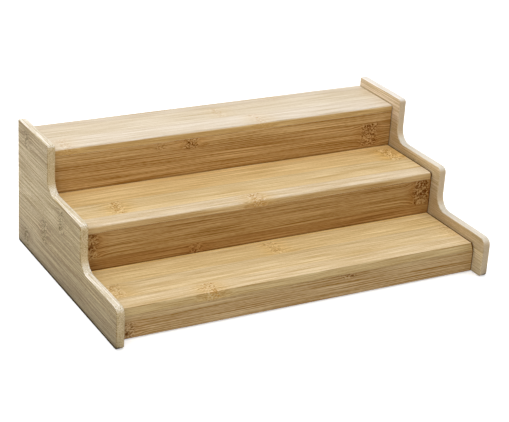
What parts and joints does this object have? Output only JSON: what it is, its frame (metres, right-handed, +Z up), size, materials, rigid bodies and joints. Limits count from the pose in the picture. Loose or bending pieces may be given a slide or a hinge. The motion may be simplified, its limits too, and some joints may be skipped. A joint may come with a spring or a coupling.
{
  "type": "tiered shelf riser",
  "caption": "Stepped bamboo shelf riser: treads and risers between end panels with a stepped, rounded profile, open at the back and underneath.",
  "frame": {"origin": "centre of the footprint, on the surface that the riser stands on", "axes": "+X along the treads to the user's right, +Y towards the back (the high side), +Z up"},
  "size_m": [0.4, 0.245, 0.1295],
  "materials": {
    "end_panel": "clear satin lacquer over bamboo",
    "tread": "clear satin lacquer over bamboo",
    "riser": "clear satin lacquer over bamboo",
    "dowel": "bare fluted wood"
  },
  "bodies": {
    "root": {"left_end_panel": "end_panel", "right_end_panel": "end_panel", "bottom_tread": "tread", "middle_tread": "tread", "top_tread": "tread", "bottom_riser": "riser", "middle_riser": "riser", "top_riser": "riser", "bottom_tread_left_front_dowel": "dowel", "bottom_tread_left_back_dowel": "dowel", "bottom_riser_left_centre_dowel": "dowel", "bottom_tread_right_front_dowel": "dowel", "bottom_tread_right_back_dowel": "dowel", "bottom_riser_right_centre_dowel": "dowel", "middle_tread_left_front_dowel": "dowel", "middle_tread_left_back_dowel": "dowel", "middle_riser_left_lower_dowel": "dowel", "middle_riser_left_upper_dowel": "dowel", "middle_tread_right_front_dowel": "dowel", "middle_tread_right_back_dowel": "dowel", "middle_riser_right_lower_dowel": "dowel", "middle_riser_right_upper_dowel": "dowel", "top_tread_left_front_dowel": "dowel", "top_tread_left_back_dowel": "dowel", "top_riser_left_lower_dowel": "dowel", "top_riser_left_upper_dowel": "dowel", "top_tread_right_front_dowel": "dowel", "top_tread_right_back_dowel": "dowel", "top_riser_right_lower_dowel": "dowel", "top_riser_right_upper_dowel": "dowel"}
  },
  "joints": []
}
